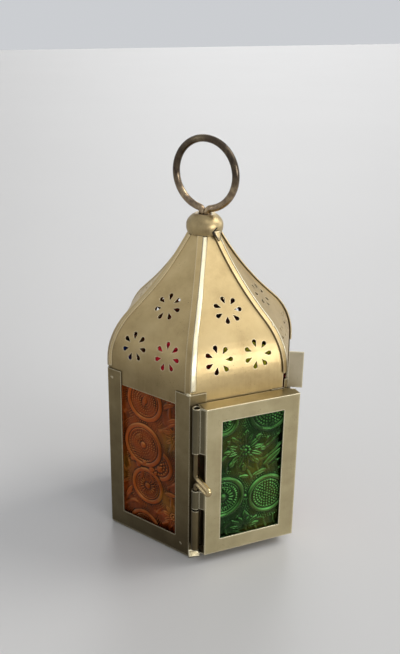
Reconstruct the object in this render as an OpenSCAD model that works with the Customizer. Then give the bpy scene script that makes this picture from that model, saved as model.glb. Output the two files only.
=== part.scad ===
// Hexagonal sheet-tin lantern: pierced ogee roof, coloured glass panes, a hinged door
// held by a sliding wire bolt, and a wire ring that swivels in the finial cap.
// Millimetres. +Z is up, the origin is the middle of the base, the door faces -Y.

/* [Body] */
// Length of one side of the hexagon, which is also its corner radius
side = 60; // [56:1:80]
// Thickness of the tin sheet
sheet_t = 0.6; // [0.5:0.05:0.7]
// Height of the corner posts above the rest plane
post_h = 105.4; // [100:0.2:130]
// Height of the body sheet's lower edge above the rest plane
foot_gap = 1.2; // [0.6:0.1:2]
// Width of the flange that each post shows beside a window
flange_w = 10; // [8:0.5:11]
// Width left of the hinge-side flange above the door
hinge_flange_w = 2; // [1.5:0.1:3]
// Height of the window sills
sill_z = 11.6; // [9:0.2:16]
// Height of the turned-up rim of the base tray
tray_rim = 5; // [4:0.5:8]
// Gap between pieces that are soldered or slid together
fit_gap = 0.1; // [0.05:0.05:0.15]

/* [Glass] */
// Thickness of the pressed glass panes
glass_t = 2.6; // [2.2:0.1:3]
// Height of the pressed relief, within that thickness
relief_h = 1.2; // [0.8:0.1:1.4]
// Width of the raised rim of a pressed medallion
relief_rim = 1.7; // [1.4:0.1:2.2]
// How far a pane passes behind each post flange
pane_lap = 6; // [4:0.5:6.5]
// Distance from the post tops down to the top edge of the panes
pane_drop = 3; // [1:0.5:6]
// Length of each wing of the inner corner strips
corner_wing = 8; // [6.5:0.5:8.5]

/* [Roof] */
// How far the roof skirt reaches down inside the posts
skirt_lap = 8.4; // [6:0.2:12]
// Straight height of the roof between the post tops and the shoulder
shoulder_rise = 4.1; // [3:0.1:8]
// Radius of the round shoulder
shoulder_r = 41; // [38:0.5:43]
// Angle through which the shoulder turns
shoulder_turn = 45; // [42:1:48]
// Height of the roof above the post tops
roof_h = 78.4; // [70:0.2:90]
// Distance from the axis to the panels at the top of the roof
neck_a = 6.8; // [6.4:0.1:7.2]
// Width of the folded flange that laps over the next panel
lap_w = 3; // [2.6:0.1:3.4]
// How much higher the flange beside the hinge begins
hinge_lap_rise = 3.4; // [2:0.2:5]

/* [Piercings] */
// Petals in each flower
petals = 7; // [5:1:8]
// Outer radius of a flower
flower_r = 8.4; // [7:0.1:9]
// Length of a petal
petal_l = 4.4; // [3.8:0.1:4.8]
// Width of a petal
petal_w = 2.6; // [2:0.1:2.8]
// Height of the two lower flowers above the post tops
low_flower_z = 17; // [14:0.5:20]
// Distance of the two lower flowers from the middle of the panel
low_flower_s = 11.8; // [10:0.2:13]
// Height of the upper flower above the post tops
top_flower_z = 39.1; // [36:0.1:42]

/* [Door] */
// Distance from the latch-side corner to the door's edge
door_inset = 6.2; // [5.5:0.1:7]
// How far the door passes the hinge-side corner
door_overhang = 3.5; // [3:0.1:4]
// How far the door's front stands off the body
door_depth = 9.1; // [8.8:0.1:10]
// Height of the door's lower edge above the rest plane
door_z = 6; // [4:0.2:8]
// Distance from the post tops down to the door's upper edge
door_drop = 5.6; // [4:0.2:8]
// Width of the door frame beside the glass
door_frame_w = 9.6; // [8:0.2:11]
// Height of the door frame below and above the glass
door_rail_h = 8.9; // [7:0.1:11]
// Gap between the door's back edge and the body
door_gap = 0.5; // [0.4:0.1:0.8]
// How deep the glass lies behind the door's front
glass_recess = 1.2; // [1:0.1:1.6]

/* [Hinge] */
// Radius of the hinge pin wire
pin_r = 1; // [0.8:0.05:1.1]
// Running clearance round the hinge pin
pin_play = 0.08; // [0.05:0.01:0.1]
// Knuckles along the hinge, odd so that the body holds both ends
knuckles = 5; // [3:2:7]
// Clearance round and between the knuckles
knuckle_play = 0.35; // [0.3:0.05:0.4]
// Width of the hinge strip that stands out from the body
strip_w = 8.4; // [8:0.1:9]
// Height of the hinge strip above the post tops
strip_rise = 16.6; // [8:0.2:24]
// Distance of the hinge strip from the corner
strip_inset = 0.4; // [0.3:0.1:0.6]
// Width of the hinge strip's soldered leg
strip_leg_w = 8; // [6:0.5:9]
// Distance from the door's edges to the end knuckles
hinge_end = 2; // [1.5:0.1:4]

/* [Latch] */
// Radius of the bolt wire
bolt_r = 1.5; // [1.3:0.05:1.6]
// Clearance round the bolt in its tubes
bolt_play = 0.3; // [0.2:0.05:0.35]
// Distance of the bolt from the corner, along the body
latch_inset = 2.6; // [2.4:0.1:2.8]
// Distance of the bolt from the body
latch_out = 3.8; // [3.7:0.05:4]
// Length of the upper tube on the door
upper_tube_l = 27.8; // [20:0.2:30]
// Length of the lower tube on the door
lower_tube_l = 11.8; // [8:0.2:13]
// Length of the keeper tube on the body
keeper_l = 26.7; // [20:0.1:28]
// Distance from the door's lower edge to the keeper
keeper_rise = 2; // [1.5:0.1:4]
// Gap between the keeper and the lower tube
tube_gap = 1.3; // [1:0.1:2]
// Length of the looped handle, from the bolt to its tip
handle_l = 12.8; // [12:0.1:15]
// Direction in which the handle points
handle_turn = -73; // [-80:1:-72]
// Angle by which the handle droops
handle_dip = 18; // [10:1:20]
// Inner bend of the bolt wire, measured to its middle
bolt_bend = 2.2; // [2:0.1:2.4]
// How far the bolt drops from its stored place to lock the door
bolt_drop = 2.3; // [2:0.1:3]
// Clearance between the raised bolt and the keeper
bolt_lift = 0.3; // [0.2:0.05:0.5]
// Length of bolt that stays inside the upper tube
bolt_hold = 13; // [8:0.5:16]

/* [Cap and ring] */
// Outer radius of the finial cap where it is widest
cap_r = 10.7; // [10.5:0.1:12]
// Height of the finial cap
cap_h = 10.6; // [10:0.2:12]
// Height at which the cap is widest
cap_wall = 4; // [3:0.2:4.6]
// How far the cap's lower edge curls in
cap_curl = 0.8; // [0.4:0.1:1]
// Room between the roof's tips and the middle of each panel at the cap's lower edge
cap_room = 1; // [0.8:0.1:1.3]
// Angle through which the dome turns up to its flat top
dome_turn = 57; // [54:1:60]
// Radius of the ring's wire
ring_wire_r = 2.1; // [1.8:0.05:2.3]
// Outer radius of the ring
ring_r = 21.8; // [18:0.1:26]
// Bend where each end of the ring turns down
ring_bend = 3; // [2.6:0.1:3.6]
// Half the distance between the two ends in the neck
ring_neck = 1.6; // [1.4:0.05:1.8]
// Slit between the two ends
ring_slit = 0.12; // [0.1:0.02:0.3]
// Direction in which the ring is turned
ring_turn = -56; // [-70:1:70]
// Length of each splayed end, from the middle of the neck
splay_l = 6.4; // [6:0.1:6.8]
// Radius of the washer under the cap
washer_r = 5.2; // [4.8:0.1:5.3]
// Thickness of the washer
washer_t = 0.8; // [0.6:0.1:1.2]
// Running clearance round the neck of the ring
neck_play = 0.1; // [0.05:0.01:0.15]

/* [Candle cup] */
// Inner radius of the cup, for a tea light
cup_r = 19.6; // [18:0.1:20]
// Height of the cup
cup_h = 9; // [6:0.5:12]

/* [Hidden] */

// Directions that the six faces look in
door_turn = -90;
right_front_turn = -30;
right_back_turn = 30;
back_turn = 90;
left_back_turn = 150;
left_front_turn = 210;
// Half the turn from one face to the next
half_turn = 30;
// Colours of the glass
AMBER = [0.85, 0.45, 0.12, 0.6];
BLUE = [0.2, 0.35, 0.75, 0.6];
RED = [0.8, 0.12, 0.15, 0.6];
YELLOW = [0.85, 0.7, 0.15, 0.6];
// Pressed forms of each pane, in shares of its width from its lower left corner:
// medallions and rosettes as [across, up, radius], leaves as [across, up, length, direction]
LEFT_FRONT_FORMS = [
    [[0.62, 0.99, 0.19], [0.42, 1.73, 0.245], [0.39, 1.17, 0.265], [0.45, 0.66, 0.225],
        [0.4, 0.09, 0.22]],
    [[0.86, 1.4, 0.17], [0.83, 0.39, 0.17]],
    [[0.66, 1.7, 0.2, 30], [0.7, 0.66, 0.18, 5], [0.12, 0.4, 0.2, 60]]];
DOOR_FORMS = [
    [[0.73, 1.7, 0.27], [0.14, 1.65, 0.19], [0.15, 0.63, 0.275], [0.74, 0.56, 0.26]],
    [[0.425, 1.22, 0.25]],
    [[0.67, 0.97, 0.3, 40], [0.53, 0.86, 0.2, 15], [0.35, 0.88, 0.15, -10],
        [0.445, 0.17, 0.2, 90], [0.42, 0.15, 0.18, 145], [0.47, 0.15, 0.18, 35]]];
OTHER_FORMS = [
    [[0.15, 0.77, 0.28], [0.85, 0.77, 0.28], [0.5, 1.87, 0.27], [0.06, 1.6, 0.19],
        [0.94, 1.6, 0.19]],
    [[0.5, 1.35, 0.23], [0.5, 0.3, 0.22]],
    [[0.46, 0.95, 0.22, 140], [0.54, 0.95, 0.22, 40]]];
// Extra length of a cutting shape
over = 1;
// Segments of the round shapes
round_n = 48;
// Steps along each arc of the roof's outline
arc_steps = 9;
// Angle by which a bend of wire runs into the straight on either side
bend_bite = 5;

// Plan of the body
face_a = side * cos(half_turn);
shell_in_a = face_a - sheet_t;
window_w = side - 2 * flange_w;

// Glass behind the roof skirt
skirt_a = shell_in_a - fit_gap;
pane_a = skirt_a - sheet_t - fit_gap;
pane_w = window_w + 2 * pane_lap;
pane_z = sheet_t + fit_gap;
pane_top = post_h - pane_drop;
strip_a = pane_a - glass_t - fit_gap;

// Roof outline: a straight skirt, a round shoulder and a hollow sweep up to the neck
skirt_z = post_h - skirt_lap;
shoulder_z = post_h + shoulder_rise;
roof_top = post_h + roof_h;
sweep_z = shoulder_z + shoulder_r * sin(shoulder_turn);
sweep_a = skirt_a - shoulder_r * (1 - cos(shoulder_turn));
sweep_chord = norm([sweep_a - neck_a, roof_top - sweep_z]);
sweep_end = 2 * atan2(sweep_a - neck_a, roof_top - sweep_z) - shoulder_turn;
sweep_r = sweep_chord / (2 * sin((shoulder_turn - sweep_end) / 2));
// Sideways room that a panel leaves for the flange lapping over it
lap_room = 2 * sheet_t / cos(shoulder_turn) + fit_gap;
// Lower end of the lapping flange, just above the posts
lap_z = post_h + sheet_t;
// Overlap that joins a flange to its own panel
lap_bite = sheet_t / 4;

// Door
door_x0 = -side / 2 + door_inset;
door_x1 = side / 2 + door_overhang;
door_top = post_h - door_drop;
door_h = door_top - door_z;
door_y = -(face_a + door_depth);
door_back_y = -(face_a + door_gap);
door_glass_y = door_y + glass_recess;
door_glass_in = door_frame_w / 2;
retainer_y = door_glass_y + glass_t + fit_gap;
return_w = 3 * sheet_t;

// Hinge: the pin lies where the door's side wall and the hinge strip meet
pin_bore_r = pin_r + pin_play;
knuckle_r = pin_bore_r + sheet_t;
knuckle_mid_r = pin_bore_r + sheet_t / 2;
hinge_x = door_x1 - sheet_t / 2;
strip_y = -side / 2 + strip_inset;
hinge_s = strip_y + sheet_t / 2;
hinge_y = (hinge_s - hinge_x * sin(half_turn)) / cos(half_turn);
// Distance of the pin from the axis, square to the face that carries the strip
hinge_out = hinge_x * cos(half_turn) - hinge_y * sin(half_turn);
knuckle_z = door_z + hinge_end;
knuckle_top = door_top - hinge_end;
knuckle_l = (knuckle_top - knuckle_z) / knuckles;
hinge_clear = knuckle_r + knuckle_play;

// Latch
tube_bore_r = bolt_r + bolt_play;
tube_r = tube_bore_r + sheet_t;
latch_x = -side / 2 + latch_inset;
latch_y = -(face_a + latch_out);
keeper_z = door_z + keeper_rise;
keeper_top = keeper_z + keeper_l;
lower_tube_z = keeper_top + tube_gap;
lower_tube_top = lower_tube_z + lower_tube_l;
upper_tube_z = door_top - sheet_t / 2 - upper_tube_l;
bolt_low = keeper_top + bolt_lift;
// The handle's lower leg passes this low over the rim of the lower tube
handle_low = lower_tube_top + bolt_drop + tube_r * tan(handle_dip) + bolt_r / cos(handle_dip)
    + 1.5 * bolt_lift;
handle_gap = 2 * bolt_r + fit_gap;
handle_high = handle_low + handle_gap / cos(handle_dip);
handle_end = handle_l - bolt_r - handle_gap / 2;
// Bends of the wire into the handle's upper and lower leg, and the room that each takes
bend_high = 90 - handle_dip;
bend_low = 90 + handle_dip;
bend_high_l = bolt_bend * tan(bend_high / 2);
bend_low_l = bolt_bend * tan(bend_low / 2);
bolt_top = upper_tube_z + bolt_hold;
// The latch side wall starts just inside the door's front corner, and ends where its tubes begin
leaf_start = [door_x0 + sheet_t / 2, door_y + sheet_t / 2];
leaf_reach = norm([latch_x, latch_y] - leaf_start);
leaf_mid_r = tube_bore_r + sheet_t / 2;
leaf_l = leaf_reach - leaf_mid_r;
leaf_turn = atan2(latch_y - leaf_start[1], latch_x - leaf_start[0]);

// Cap and ring: the cap goes down to where the roof's tips still pass inside its curled edge
tip_r = cap_r - sheet_t - cap_curl - fit_gap;
dome_h = (cap_h - cap_wall) / sin(dome_turn);
cap_lap = (tip_r - neck_a - cap_room) / tan(sweep_end);
cap_z = roof_top - cap_lap;
cap_top = cap_z + cap_h;
neck_r = ring_neck + ring_wire_r;
neck_hole_r = neck_r + neck_play;
ring_mid_r = ring_r - ring_wire_r;
ring_bend_x = ring_neck + ring_bend;
ring_bend_drop = sqrt(pow(ring_mid_r + ring_bend, 2) - pow(ring_bend_x, 2));
ring_open = atan2(ring_bend_x, ring_bend_drop);
ring_bend_z = cap_top + 3 * fit_gap;
ring_z = ring_bend_z + ring_bend_drop;
washer_z = cap_top - sheet_t - fit_gap - washer_t;
// The splayed ends lie level, just under the washer
splay_z = washer_z - fit_gap - ring_wire_r;
splay_bend = ring_wire_r + 3 * fit_gap;

// A point of the shoulder, t degrees from upright, d inside the outer face
function shoulder_pt(t, d) = [
    skirt_a - shoulder_r * (1 - cos(t)) - d * cos(t),
    shoulder_z + shoulder_r * sin(t) - d * sin(t)];

// A point of the hollow sweep, where the sheet leans t degrees, d inside the outer face
function sweep_pt(t, d) = [
    sweep_a + sweep_r * (cos(shoulder_turn) - cos(t)) - d * cos(t),
    sweep_z + sweep_r * (sin(shoulder_turn) - sin(t)) - d * sin(t)];

// The roof's outline from skirt to neck, d inside the outer face
function roof_line(d) = concat(
    [[skirt_a - d, skirt_z]],
    [for (i = [0 : arc_steps]) shoulder_pt(shoulder_turn * i / arc_steps, d)],
    [for (i = [1 : arc_steps])
        sweep_pt(shoulder_turn + (sweep_end - shoulder_turn) * i / arc_steps, d)]);

function reversed(list) = [for (i = [len(list) - 1 : -1 : 0]) list[i]];
function stretched(list, k) = [for (p = list) [p[0] * k, p[1]]];

// How far the sheet leans from upright at height z
function lean_at(z) = z < sweep_z
    ? asin((z - shoulder_z) / shoulder_r)
    : asin(sin(shoulder_turn) - (z - sweep_z) / sweep_r);

// Distance of the outer face from the axis at height z
function roof_a(z) = z < sweep_z
    ? shoulder_pt(lean_at(z), 0)[0]
    : sweep_pt(lean_at(z), 0)[0];

// A regular hexagon with flats square to the six face directions
module hexagon(a) {
    circle(r = a / cos(half_turn), $fn = 6);
}

// Turns a shape drawn for a face that looks along +X to the given face
module on_face(direction) {
    rotate([0, 0, direction]) children();
}

// A round tube standing on z = 0
module tube(outer_r, bore_r, l) {
    difference() {
        cylinder(r = outer_r, h = l, $fn = round_n);
        translate([0, 0, -over])
            cylinder(r = bore_r, h = l + 2 * over, $fn = round_n);
    }
}

// Floor of the lantern, with a rim that fits inside the body sheet
module base_tray() {
    color("darkgoldenrod") {
        linear_extrude(height = sheet_t)
            hexagon(skirt_a);
        linear_extrude(height = tray_rim)
            difference() {
                hexagon(skirt_a);
                hexagon(skirt_a - sheet_t);
            }
    }
}

// Shallow cup that keeps a tea light in the middle of the floor
module candle_cup() {
    color("goldenrod")
        translate([0, 0, sheet_t + fit_gap])
            difference() {
                cylinder(r = cup_r + sheet_t, h = cup_h, $fn = round_n);
                translate([0, 0, sheet_t])
                    cylinder(r = cup_r, h = cup_h, $fn = round_n);
            }
}

// One sheet folded round the hexagon, with a window cut from its top edge in every face
module body_shell() {
    color("darkgoldenrod")
        difference() {
            translate([0, 0, foot_gap])
                linear_extrude(height = post_h - foot_gap)
                    difference() {
                        hexagon(face_a);
                        hexagon(shell_in_a);
                    }
            for (k = [0 : 5])
                on_face(door_turn + 2 * half_turn * k)
                    translate([shell_in_a - over, -window_w / 2, sill_z])
                        cube([sheet_t + 2 * over, window_w, post_h]);
            // The flange beside the hinge is trimmed above the door
            on_face(door_turn)
                translate([shell_in_a - over, window_w / 2 - over, door_top + knuckle_play])
                    cube([sheet_t + 2 * over, flange_w - hinge_flange_w + over, post_h]);
        }
}

// Folded strip that stands in a corner and keeps the edges of two panes in place
module corner_strip(direction) {
    reach = corner_wing * cos(half_turn);
    color("goldenrod")
        translate([0, 0, pane_z])
            linear_extrude(height = pane_top - pane_z)
                intersection() {
                    difference() {
                        hexagon(strip_a);
                        hexagon(strip_a - sheet_t);
                    }
                    rotate([0, 0, direction])
                        translate([0, -reach])
                            square([side, 2 * reach]);
                }
}

// Plan of a leaf that starts at the origin and points along +X
module leaf(l) {
    // Radius of the two arcs between which the leaf lies, and how far their centres stand off
    arc_r = 0.75 * l;
    arc_off = sqrt(pow(arc_r, 2) - pow(l / 2, 2));
    intersection() {
        translate([l / 2, arc_off]) circle(r = arc_r, $fn = round_n);
        translate([l / 2, -arc_off]) circle(r = arc_r, $fn = round_n);
    }
}

// Plan of a medallion: a raised rim round a boss
module medallion(r) {
    difference() {
        circle(r = r, $fn = round_n);
        circle(r = r - relief_rim, $fn = round_n);
    }
    circle(r = r / 4, $fn = round_n);
}

// Plan of a rosette: leaves round a boss
module rosette(r) {
    leaves = 8;
    circle(r = r / 4, $fn = round_n);
    for (i = [0 : leaves - 1])
        rotate([0, 0, (i + 0.5) * 360 / leaves])
            translate([r / 3, 0]) leaf(2 * r / 3);
}

// The first n medallions of a list, each pressed over the ones before it
module medallions(list, n, unit) {
    if (n > 0) {
        spot = list[n - 1];
        difference() {
            medallions(list, n - 1, unit);
            translate([spot[0], spot[1]] * unit)
                circle(r = spot[2] * unit - relief_rim / 2, $fn = round_n);
        }
        translate([spot[0], spot[1]] * unit) medallion(spot[2] * unit);
    }
}

// Pane of pressed glass, w wide and h high, lying face up: relief within an edge of full thickness
module pressed_glass(w, h, edge, forms) {
    linear_extrude(height = glass_t - relief_h) square([w, h]);
    linear_extrude(height = glass_t) {
        difference() {
            square([w, h]);
            translate([edge, edge]) square([w - 2 * edge, h - 2 * edge]);
        }
        intersection() {
            translate([edge / 2, edge / 2]) square([w - edge, h - edge]);
            union() {
                medallions(forms[0], len(forms[0]), w);
                for (spot = forms[1])
                    translate([spot[0], spot[1]] * w) rosette(spot[2] * w);
                for (spot = forms[2])
                    translate([spot[0], spot[1]] * w)
                        rotate([0, 0, spot[3]]) leaf(spot[2] * w);
            }
        }
    }
}

// One fixed pane
module pane(direction, tint, forms) {
    color(tint)
        on_face(direction)
            translate([pane_a - glass_t, -pane_w / 2, pane_z])
                rotate([90, 0, 90])
                    pressed_glass(pane_w, pane_top - pane_z, pane_lap - sheet_t, forms);
}

// One petal with its point towards the middle of the flower
module petal() {
    tip = flower_r - petal_l;
    bulb = flower_r - petal_w / 2;
    side_turn = 90 + asin(petal_w / 2 / (bulb - tip));
    petal_steps = 8;
    polygon(concat(
        [[tip, 0]],
        [for (i = [0 : petal_steps])
            let (t = side_turn * (2 * i / petal_steps - 1))
            [bulb + petal_w / 2 * cos(t), petal_w / 2 * sin(t)]]));
}

// A ring of petals, cut square to the sheet at height z and s to the right of the middle
module flower(z, s) {
    first_petal = 190;
    translate([roof_a(z), s, z])
        rotate([0, 90 - lean_at(z), 0])
            linear_extrude(height = 2 * shoulder_rise, center = true)
                for (i = [0 : petals - 1])
                    rotate([0, 0, first_petal + i * 360 / petals])
                        petal();
}

// Plan of one panel: a wedge that stops short of the next panel's flange on its right
module panel_wedge() {
    far = 2 * side;
    near = lap_room / sin(2 * half_turn);
    polygon([
        near * [cos(half_turn), -sin(half_turn)],
        far * [cos(half_turn), -sin(half_turn)],
        far * [cos(half_turn), sin(half_turn)] + lap_room * [sin(half_turn), -cos(half_turn)]]);
}

// Cross-section of the roof sheet, stretched sideways by k
module roof_section(k) {
    polygon(concat(
        stretched(roof_line(0), k),
        reversed(stretched(roof_line(sheet_t), k))));
}

// One pierced roof panel, with a flange on its left edge that laps over its neighbour
module roof_panel(direction, lap_from = lap_z) {
    color("gold")
        on_face(direction)
            difference() {
                union() {
                    intersection() {
                        rotate([90, 0, 0])
                            linear_extrude(height = 2 * side, center = true)
                                roof_section(1);
                        linear_extrude(height = roof_top + over)
                            panel_wedge();
                    }
                    intersection() {
                        rotate([0, 0, -half_turn])
                            translate([0, lap_bite, 0])
                                rotate([90, 0, 0])
                                    linear_extrude(height = lap_w + lap_bite)
                                        roof_section(1 / cos(half_turn));
                        translate([0, -side, lap_from])
                            cube([side, 2 * side, roof_h]);
                    }
                }
                flower(post_h + top_flower_z, 0);
                flower(post_h + low_flower_z, low_flower_s);
                flower(post_h + low_flower_z, -low_flower_s);
                // The tips are dressed round to pass inside the cap
                translate([0, 0, cap_z - fit_gap])
                    tube(side, tip_r, cap_h);
            }
}

// Half of the cap's section, d inside its outer face
function cap_line(d) = concat(
    [for (i = [arc_steps : -1 : 1])
        let (u = i / arc_steps)
        [cap_r - d - cap_curl * u * u, cap_wall * (1 - u)]],
    [for (i = [0 : arc_steps])
        let (t = dome_turn * i / arc_steps)
        [(cap_r - d) * cos(t), cap_wall - (i > 0 ? d : 0) + dome_h * sin(t)]]);

// Round cap over the tips of the panels, with the swivel hole in its flat top
module finial_cap() {
    color("gold")
        translate([0, 0, cap_z])
            rotate_extrude($fn = round_n)
                polygon(concat(
                    cap_line(0),
                    [[neck_hole_r, cap_h], [neck_hole_r, cap_h - sheet_t]],
                    reversed(cap_line(sheet_t))));
}

// One end of the ring's wire: bent down through the cap, then splayed under the washer
module ring_end() {
    difference() {
        union() {
            // The bend draws the wire a little thinner, and runs into the straight and the round
            translate([ring_bend_x, 0, ring_bend_z])
                rotate([90, 0, 0])
                    rotate([0, 0, 90 + ring_open - bend_bite])
                        rotate_extrude(angle = 90 - ring_open + 2 * bend_bite, $fn = round_n)
                            translate([ring_bend, 0])
                                circle(r = ring_wire_r - fit_gap / 2, $fn = round_n / 2);
            translate([ring_neck, 0, splay_z + splay_bend])
                cylinder(r = ring_wire_r, h = ring_bend_z - splay_z - splay_bend, $fn = round_n / 2);
            translate([ring_neck + splay_bend, 0, splay_z + splay_bend])
                rotate([90, 0, 0])
                    rotate([0, 0, 180])
                        rotate_extrude(angle = 90, $fn = round_n)
                            translate([splay_bend, 0])
                                circle(r = ring_wire_r, $fn = round_n / 2);
            translate([ring_neck + splay_bend, 0, splay_z])
                rotate([0, 90, 0])
                    cylinder(r = ring_wire_r, h = splay_l - ring_neck - splay_bend,
                        $fn = round_n / 2);
        }
        // The two ends are filed flat where they face each other
        translate([ring_slit / 2 - side, -side / 2, splay_z - side / 2])
            cube(side);
    }
}

// Carrying ring: one wire bent to a circle, its two ends passing down through the cap
module ring_handle() {
    color("saddlebrown")
        rotate([0, 0, ring_turn]) {
            translate([0, 0, ring_z])
                rotate([90, 0, 0])
                    rotate([0, 0, ring_open - 90])
                        rotate_extrude(angle = 360 - 2 * ring_open, $fn = 2 * round_n)
                            translate([ring_mid_r, 0])
                                circle(r = ring_wire_r, $fn = round_n / 2);
            ring_end();
            mirror([1, 0, 0]) ring_end();
        }
}

// Washer that keeps the ring's splayed ends from pulling out of the cap
module ring_washer() {
    color("goldenrod")
        translate([0, 0, washer_z])
            tube(washer_r, neck_hole_r, washer_t);
}

// Plan of the door's top and bottom walls, clear of the hinge strip
module door_wall_plan() {
    leaf_end = leaf_start + leaf_l * [cos(leaf_turn), sin(leaf_turn)];
    // The walls stay this far in front of the hinge strip
    clear_s = strip_y - knuckle_play;
    back_x = (clear_s - door_back_y * cos(half_turn)) / sin(half_turn);
    side_y = (clear_s - door_x1 * sin(half_turn)) / cos(half_turn);
    polygon([
        [door_x0, door_y], [door_x1, door_y],
        [door_x1, min(side_y, hinge_y - hinge_clear)],
        [min(back_x, door_x1 - return_w), door_back_y],
        [latch_x + leaf_mid_r, door_back_y],
        [latch_x + leaf_mid_r, latch_y],
        leaf_end,
        leaf_start]);
}

// Side wall on the latch side: from the front edge back to the tube rolled from it
module latch_leaf(z, l) {
    // The sheet is cut a little shorter than the tube at each end
    trim = sheet_t / 4;
    translate([leaf_start[0], leaf_start[1], z + trim])
        rotate([0, 0, leaf_turn])
            translate([0, -sheet_t / 2, 0])
                cube([leaf_l, sheet_t, l - 2 * trim]);
    translate([latch_x, latch_y, z])
        tube(tube_r, tube_bore_r, l);
}

// Knuckles of one side of the hinge: first is 0 for the body's and 1 for the door's
module hinge_knuckles(first) {
    for (k = [first : 2 : knuckles - 1])
        translate([hinge_x, hinge_y, knuckle_z + k * knuckle_l + knuckle_play / 2])
            tube(knuckle_r, pin_bore_r, knuckle_l - knuckle_play);
}

// Space that the other side's knuckles need
module knuckle_space(first) {
    for (k = [first : 2 : knuckles - 1])
        translate([hinge_x, hinge_y, knuckle_z + k * knuckle_l - knuckle_play / 2])
            cylinder(r = hinge_clear, h = knuckle_l + knuckle_play, $fn = round_n);
}

// Pressed door tray with its window, rolled latch tubes and rolled hinge knuckles
module door_frame() {
    color("gold") {
        difference() {
            union() {
                translate([door_x0, door_y, door_z])
                    cube([door_x1 - door_x0, sheet_t, door_h]);
                translate([0, 0, door_z])
                    linear_extrude(height = sheet_t) door_wall_plan();
                translate([0, 0, door_top - sheet_t])
                    linear_extrude(height = sheet_t) door_wall_plan();
                translate([door_x1 - sheet_t, door_y, door_z])
                    cube([sheet_t, hinge_y - knuckle_mid_r - door_y, door_h]);
                translate([door_x0, door_y, door_z])
                    cube([sheet_t, return_w, door_h]);
            }
            translate([door_x0 + door_frame_w, door_y - over, door_z + door_rail_h])
                cube([door_x1 - door_x0 - 2 * door_frame_w, 2 * over + sheet_t,
                    door_h - 2 * door_rail_h]);
            knuckle_space(0);
            translate([hinge_x, hinge_y, door_z - over])
                cylinder(r = hinge_clear, h = hinge_end + over, $fn = round_n);
            translate([hinge_x, hinge_y, knuckle_top])
                cylinder(r = hinge_clear, h = hinge_end + over, $fn = round_n);
        }
        hinge_knuckles(1);
        latch_leaf(upper_tube_z, upper_tube_l);
        latch_leaf(lower_tube_z, lower_tube_l);
    }
}

// Glass of the door
module door_pane() {
    color("seagreen", 0.6)
        translate([door_x0 + door_glass_in, door_glass_y + glass_t, door_z + door_rail_h / 2])
            rotate([90, 0, 0])
                pressed_glass(door_x1 - door_x0 - 2 * door_glass_in, door_h - door_rail_h,
                    door_rail_h / 2 - sheet_t, DOOR_FORMS);
}

// Open frame soldered inside the door to keep its glass against the front
module door_glass_retainer() {
    w = door_x1 - door_x0 - door_glass_in;
    h = door_h - door_rail_h / 2;
    color("goldenrod")
        difference() {
            translate([door_x0 + door_glass_in / 2, retainer_y, door_z + door_rail_h / 4])
                cube([w, sheet_t, h]);
            translate([door_x0 + door_frame_w, retainer_y - over, door_z + door_rail_h])
                cube([door_x1 - door_x0 - 2 * door_frame_w, sheet_t + 2 * over,
                    door_h - 2 * door_rail_h]);
        }
}

// Folded strip soldered beside the corner, its free edge rolled round the hinge pin
module hinge_strip() {
    leg_a = face_a + fit_gap / 2;
    color("darkkhaki") {
        on_face(right_front_turn)
            translate([leg_a, strip_y, knuckle_z])
                cube([sheet_t, strip_leg_w, post_h - sheet_t - knuckle_z]);
        difference() {
            on_face(right_front_turn) {
                translate([leg_a, strip_y, knuckle_z])
                    cube([hinge_out - knuckle_mid_r - leg_a, sheet_t, post_h - knuckle_z]);
                translate([leg_a, strip_y, door_top + knuckle_play])
                    cube([strip_w, sheet_t, post_h + strip_rise - door_top - knuckle_play]);
            }
            knuckle_space(1);
        }
        hinge_knuckles(0);
    }
}

// Straight wire with a flattened head at each end
module hinge_pin() {
    head_r = (pin_bore_r + knuckle_r) / 2;
    head_t = sheet_t;
    color("saddlebrown")
        translate([hinge_x, hinge_y, knuckle_z]) {
            cylinder(r = pin_r, h = knuckle_top - knuckle_z, $fn = round_n);
            translate([0, 0, -head_t])
                cylinder(r = head_r, h = head_t, $fn = round_n);
            translate([0, 0, knuckle_top - knuckle_z])
                cylinder(r = head_r, h = head_t, $fn = round_n);
        }
}

// A bend of the bolt wire from upright, between two angles about its middle
module bolt_elbow(start, end) {
    // The bend draws the wire a little thinner, and runs into the straight on both sides
    translate([bolt_bend, 0, 0])
        rotate([90, 0, 0])
            rotate([0, 0, start - bend_bite])
                rotate_extrude(angle = end - start + 2 * bend_bite, $fn = round_n)
                    translate([bolt_bend, 0])
                        circle(r = bolt_r - fit_gap / 2, $fn = round_n / 2);
}

// One leg of the looped handle, from one place to another along its length
module handle_leg(from, to) {
    translate([from, 0, 0])
        rotate([0, 90, 0])
            cylinder(r = bolt_r, h = to - from, $fn = round_n);
}

// Sliding bolt: one wire with a hairpin handle bent out between the door's two tubes
module latch_bolt() {
    color("saddlebrown")
        translate([latch_x, latch_y, 0])
            rotate([0, 0, handle_turn]) {
                translate([0, 0, handle_high + bend_high_l]) {
                    cylinder(r = bolt_r, h = bolt_top - handle_high - bend_high_l, $fn = round_n);
                    bolt_elbow(180, 180 + bend_high);
                }
                translate([0, 0, handle_low])
                    rotate([0, handle_dip, 0]) {
                        handle_leg(bend_low_l, handle_end);
                        translate([0, 0, handle_gap])
                            handle_leg(bend_high_l - handle_gap * tan(handle_dip), handle_end);
                        translate([handle_end, 0, handle_gap / 2])
                            rotate([90, 0, 0])
                                rotate([0, 0, -90])
                                    rotate_extrude(angle = 180, $fn = round_n)
                                        translate([handle_gap / 2, 0])
                                            circle(r = bolt_r, $fn = round_n / 2);
                    }
                translate([0, 0, handle_low - bend_low_l])
                    bolt_elbow(180 - bend_low, 180);
                translate([0, 0, bolt_low])
                    cylinder(r = bolt_r, h = handle_low - bend_low_l - bolt_low, $fn = round_n);
            }
}

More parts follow.
